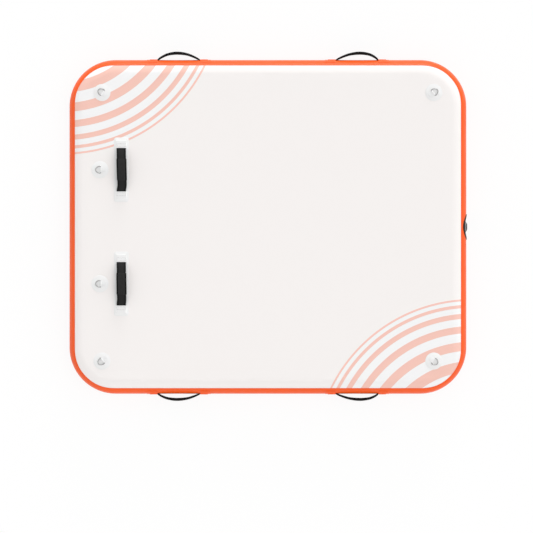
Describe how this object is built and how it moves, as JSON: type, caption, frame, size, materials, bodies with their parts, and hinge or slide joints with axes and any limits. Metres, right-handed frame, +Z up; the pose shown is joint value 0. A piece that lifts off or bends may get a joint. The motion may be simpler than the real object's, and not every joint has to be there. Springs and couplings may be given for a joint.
{
  "type": "inflatable dock platform",
  "caption": "Rounded rectangular inflatable platform for water, with a flat deck, tie rings, grab and carry handles and a capped inflation valve in one end.",
  "frame": {"origin": "middle of the flat underside, which lies on the water or the ground", "axes": "+Z up; +X along the long side, towards the end with the valve; +Y across, towards the back edge of the picture"},
  "size_m": [1.9843, 1.745, 0.188],
  "materials": {
    "deck_sheet": "satin, white coated fabric",
    "bottom_sheet": "satin, white coated fabric",
    "inner_wall_sheet": "matt, light grey coated fabric",
    "seam_tape": "matt, light grey coated fabric",
    "band_sheet": "satin, orange coated fabric",
    "drop_stitch": "raw woven polyester",
    "patch_sheet": "satin, white coated fabric",
    "tab_sheet": "satin, white coated webbing",
    "webbing": "black woven webbing",
    "grip_cover": "black foam under woven cover",
    "stainless_steel": "polished stainless wire",
    "valve_black": "matt black",
    "valve_grey": "satin light grey",
    "seal_rubber": "matt black"
  },
  "bodies": {
    "platform": {"bottom_skin": "bottom_sheet", "deck_handle_back_base_patch": "patch_sheet", "deck_handle_back_end_patch_1": "patch_sheet", "deck_handle_back_end_patch_2": "patch_sheet", "deck_handle_front_base_patch": "patch_sheet", "deck_handle_front_end_patch_1": "patch_sheet", "deck_handle_front_end_patch_2": "patch_sheet", "drop_stitch_core": "drop_stitch", "inner_seam_tape_bottom": "seam_tape", "inner_seam_tape_top": "seam_tape", "inner_side_wall": "inner_wall_sheet", "outer_side_band": "band_sheet", "ring_patch_corner_back_left": "patch_sheet", "ring_patch_corner_back_right": "patch_sheet", "ring_patch_corner_front_left": "patch_sheet", "ring_patch_corner_front_right": "patch_sheet", "ring_patch_middle_back": "patch_sheet", "ring_patch_middle_front": "patch_sheet", "ring_tab_corner_back_left": "tab_sheet", "ring_tab_corner_back_right": "tab_sheet", "ring_tab_corner_front_left": "tab_sheet", "ring_tab_corner_front_right": "tab_sheet", "ring_tab_middle_back": "tab_sheet", "ring_tab_middle_front": "tab_sheet", "side_handle_back_left_patch_inner": "band_sheet", "side_handle_back_left_patch_outer": "band_sheet", "side_handle_back_right_patch_inner": "band_sheet", "side_handle_back_right_patch_outer": "band_sheet", "side_handle_front_left_patch_inner": "band_sheet", "side_handle_front_left_patch_outer": "band_sheet", "side_handle_front_right_patch_inner": "band_sheet", "side_handle_front_right_patch_outer": "band_sheet", "top_deck_skin": "deck_sheet", "valve_body": "valve_grey", "valve_nut": "valve_grey", "valve_patch": "valve_black"},
    "d_ring_corner_back_left": {"d_ring_corner_back_left": "stainless_steel"},
    "d_ring_corner_back_right": {"d_ring_corner_back_right": "stainless_steel"},
    "d_ring_corner_front_left": {"d_ring_corner_front_left": "stainless_steel"},
    "d_ring_corner_front_right": {"d_ring_corner_front_right": "stainless_steel"},
    "d_ring_middle_back": {"d_ring_middle_back": "stainless_steel"},
    "d_ring_middle_front": {"d_ring_middle_front": "stainless_steel"},
    "deck_handle_back_strap": {"deck_handle_back_webbing": "webbing", "deck_handle_back_grip": "grip_cover"},
    "deck_handle_front_strap": {"deck_handle_front_webbing": "webbing", "deck_handle_front_grip": "grip_cover"},
    "side_handle_back_left_strap": {"side_handle_back_left_webbing": "webbing", "side_handle_back_left_grip": "grip_cover"},
    "side_handle_back_right_strap": {"side_handle_back_right_webbing": "webbing", "side_handle_back_right_grip": "grip_cover"},
    "side_handle_front_left_strap": {"side_handle_front_left_webbing": "webbing", "side_handle_front_left_grip": "grip_cover"},
    "side_handle_front_right_strap": {"side_handle_front_right_webbing": "webbing", "side_handle_front_right_grip": "grip_cover"},
    "valve_plunger": {"valve_stem": "valve_black", "valve_stem_seal": "seal_rubber", "valve_button": "valve_black", "valve_spring": "stainless_steel"},
    "valve_tether": {"valve_tether": "valve_black"},
    "valve_cap": {"valve_cap": "valve_black"}
  },
  "joints": [
    {"name": "ring_corner_back_left_fold", "type": "hinge", "parent": "platform", "child": "d_ring_corner_back_left", "pos_m": [-0.82185, 0.66504, 0.15405], "axis": [0.6157, 0.788, 0], "range_deg": [0, 170]},
    {"name": "ring_corner_back_right_fold", "type": "hinge", "parent": "platform", "child": "d_ring_corner_back_right", "pos_m": [0.82185, 0.66504, 0.15405], "axis": [0.6157, -0.788, 0], "range_deg": [0, 170]},
    {"name": "ring_corner_front_left_fold", "type": "hinge", "parent": "platform", "child": "d_ring_corner_front_left", "pos_m": [-0.82185, -0.66504, 0.15405], "axis": [-0.6157, 0.788, 0], "range_deg": [0, 170]},
    {"name": "ring_corner_front_right_fold", "type": "hinge", "parent": "platform", "child": "d_ring_corner_front_right", "pos_m": [0.82185, -0.66504, 0.15405], "axis": [-0.6157, -0.788, 0], "range_deg": [0, 170]},
    {"name": "ring_middle_back_fold", "type": "hinge", "parent": "platform", "child": "d_ring_middle_back", "pos_m": [-0.831, 0.2835, 0.15405], "axis": [0, 1, 0], "range_deg": [0, 170]},
    {"name": "ring_middle_front_fold", "type": "hinge", "parent": "platform", "child": "d_ring_middle_front", "pos_m": [-0.831, -0.2835, 0.15405], "axis": [0, 1, 0], "range_deg": [0, 170]},
    {"name": "deck_handle_back_swing", "type": "hinge", "parent": "platform", "child": "deck_handle_back_strap", "pos_m": [-0.729, 0.2835, 0.1528], "axis": [0, 1, 0], "range_deg": [-40, 40], "stiffness_Nm_per_rad": 1, "deforming": ["deck_handle_back_webbing"]},
    {"name": "deck_handle_front_swing", "type": "hinge", "parent": "platform", "child": "deck_handle_front_strap", "pos_m": [-0.729, -0.2835, 0.1528], "axis": [0, 1, 0], "range_deg": [-40, 40], "stiffness_Nm_per_rad": 1, "deforming": ["deck_handle_front_webbing"]},
    {"name": "side_handle_back_left_swing", "type": "hinge", "parent": "platform", "child": "side_handle_back_left_strap", "pos_m": [-0.444, 0.8338, 0.075], "axis": [1, 0, 0], "range_deg": [-50, 50], "stiffness_Nm_per_rad": 1, "deforming": ["side_handle_back_left_webbing"]},
    {"name": "side_handle_back_right_swing", "type": "hinge", "parent": "platform", "child": "side_handle_back_right_strap", "pos_m": [0.444, 0.8338, 0.075], "axis": [1, 0, 0], "range_deg": [-50, 50], "stiffness_Nm_per_rad": 1, "deforming": ["side_handle_back_right_webbing"]},
    {"name": "side_handle_front_left_swing", "type": "hinge", "parent": "platform", "child": "side_handle_front_left_strap", "pos_m": [-0.444, -0.8338, 0.075], "axis": [1, 0, 0], "range_deg": [-50, 50], "stiffness_Nm_per_rad": 1, "deforming": ["side_handle_front_left_webbing"]},
    {"name": "side_handle_front_right_swing", "type": "hinge", "parent": "platform", "child": "side_handle_front_right_strap", "pos_m": [0.444, -0.8338, 0.075], "axis": [1, 0, 0], "range_deg": [-50, 50], "stiffness_Nm_per_rad": 1, "deforming": ["side_handle_front_right_webbing"]},
    {"name": "valve_plunger_press", "type": "slide", "parent": "platform", "child": "valve_plunger", "axis": [-1, 0, 0], "range_m": [0, 0.0035], "stiffness_N_per_m": 500, "deforming": ["valve_spring"]},
    {"name": "valve_cap_pull", "type": "slide", "parent": "platform", "child": "valve_tether", "axis": [1, 0, 0], "range_m": [0, 0.012], "deforming": ["valve_tether"]},
    {"name": "valve_cap_turn", "type": "hinge", "parent": "valve_tether", "child": "valve_cap", "pos_m": [0.9853, 0, 0.075], "axis": [1, 0, 0], "range_deg": [0, 90]}
  ]
}
